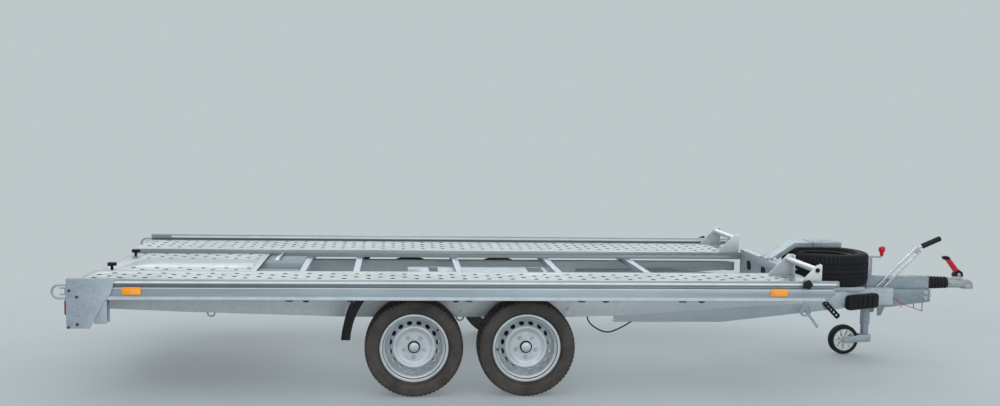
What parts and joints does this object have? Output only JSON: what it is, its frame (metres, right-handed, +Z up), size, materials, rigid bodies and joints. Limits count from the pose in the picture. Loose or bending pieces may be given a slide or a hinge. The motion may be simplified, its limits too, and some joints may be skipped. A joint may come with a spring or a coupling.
{
  "type": "car transport trailer",
  "caption": "Open-centre tandem-axle car transport trailer with perforated tracks, wheel stops, winch stand, flat spare wheel, overrun coupling and jockey wheel.",
  "frame": {"origin": "on the floor, halfway along and across the trailer", "axes": "+X towards the coupling, +Y towards the trailer's left side, +Z up"},
  "size_m": [5.3669, 2.052, 0.7903],
  "materials": {
    "galvanised": "galvanised steel, dull with mottling",
    "aluminium": "mill finish aluminium",
    "plank_metal": "perforated plank, matt",
    "tyre_rubber": "dusty black rubber",
    "rim_silver": "silver paint",
    "brake_iron": "dark cast iron",
    "black_plastic": "black moulded plastic",
    "black_rubber": "black rubber",
    "cast_grey": "zinc plated casting",
    "bright_zinc": "bright zinc plate",
    "red_plastic": "red moulded plastic",
    "red_lens": "red lamp lens",
    "amber_lens": "amber reflector"
  },
  "bodies": {
    "chassis": {"side_rail_right": "aluminium", "side_rail_left": "aluminium", "track_right": "plank_metal", "track_left": "plank_metal", "side_member_right": "galvanised", "side_member_left": "galvanised", "cross_bars": "galvanised", "ramp_cover": "plank_metal", "ramps": "aluminium", "rear_beam": "galvanised", "tail_lamps": "red_lens", "rear_plates": "galvanised", "lashing_loops": "galvanised", "front_beam": "galvanised", "drawbar_arm_right": "galvanised", "drawbar_arm_left": "galvanised", "axle_rear": "galvanised", "axle_front": "galvanised", "swing_arms": "galvanised", "mudguards": "black_plastic", "spare_bracket": "galvanised", "spare_tyre": "tyre_rubber", "spare_rim": "rim_silver", "winch_stand": "galvanised", "wheel_stops": "galvanised", "overrun_housing": "galvanised", "draw_tube": "galvanised", "bellows": "black_rubber", "coupling_head": "cast_grey", "coupling_handle": "red_plastic", "brake_rod": "bright_zinc", "breakaway_cable": "red_plastic", "jockey_clamp": "galvanised", "jockey_sleeve": "galvanised", "jockey_crank": "red_plastic", "side_markers": "amber_lens", "lock_knobs": "black_plastic", "wheel_chock": "black_plastic", "lashing_eyes": "galvanised", "brake_cables": "black_rubber", "cable_tray": "galvanised", "leg_brackets": "galvanised"},
    "wheel_rear_right": {"tyre_rear_right": "tyre_rubber", "rim_rear_right": "rim_silver", "drum_rear_right": "brake_iron"},
    "wheel_rear_left": {"tyre_rear_left": "tyre_rubber", "rim_rear_left": "rim_silver", "drum_rear_left": "brake_iron"},
    "wheel_front_right": {"tyre_front_right": "tyre_rubber", "rim_front_right": "rim_silver", "drum_front_right": "brake_iron"},
    "wheel_front_left": {"tyre_front_left": "tyre_rubber", "rim_front_left": "rim_silver", "drum_front_left": "brake_iron"},
    "jockey_stem": {"jockey_leg": "galvanised"},
    "jockey_caster": {"jockey_fork": "galvanised"},
    "jockey_roller": {"jockey_tyre": "black_rubber", "jockey_rim": "rim_silver"},
    "brake_lever": {"handbrake_lever": "bright_zinc", "handbrake_grip": "black_rubber"}
  },
  "joints": [
    {"name": "spin_rear_right", "type": "hinge", "parent": "chassis", "child": "wheel_rear_right", "pos_m": [-0.8645, -0.793, 0.2625], "axis": [0, 1, 0], "continuous": true},
    {"name": "spin_rear_left", "type": "hinge", "parent": "chassis", "child": "wheel_rear_left", "pos_m": [-0.8645, 0.793, 0.2625], "axis": [0, 1, 0], "continuous": true},
    {"name": "spin_front_right", "type": "hinge", "parent": "chassis", "child": "wheel_front_right", "pos_m": [-0.2645, -0.793, 0.2625], "axis": [0, 1, 0], "continuous": true},
    {"name": "spin_front_left", "type": "hinge", "parent": "chassis", "child": "wheel_front_left", "pos_m": [-0.2645, 0.793, 0.2625], "axis": [0, 1, 0], "continuous": true},
    {"name": "jockey_slide", "type": "slide", "parent": "chassis", "child": "jockey_stem", "axis": [0, 0, 1], "range_m": [-0.16, 0.055]},
    {"name": "jockey_swivel", "type": "hinge", "parent": "jockey_stem", "child": "jockey_caster", "pos_m": [2.0535, 0.152, 0.13], "axis": [0, 0, 1], "continuous": true},
    {"name": "jockey_spin", "type": "hinge", "parent": "jockey_caster", "child": "jockey_roller", "pos_m": [1.9135, 0.152, 0.095], "axis": [0, 1, 0], "continuous": true},
    {"name": "lever_swing", "type": "hinge", "parent": "chassis", "child": "brake_lever", "pos_m": [2.0155, -0.043, 0.425], "axis": [0, -1, 0], "range_deg": [-15, 40]}
  ]
}
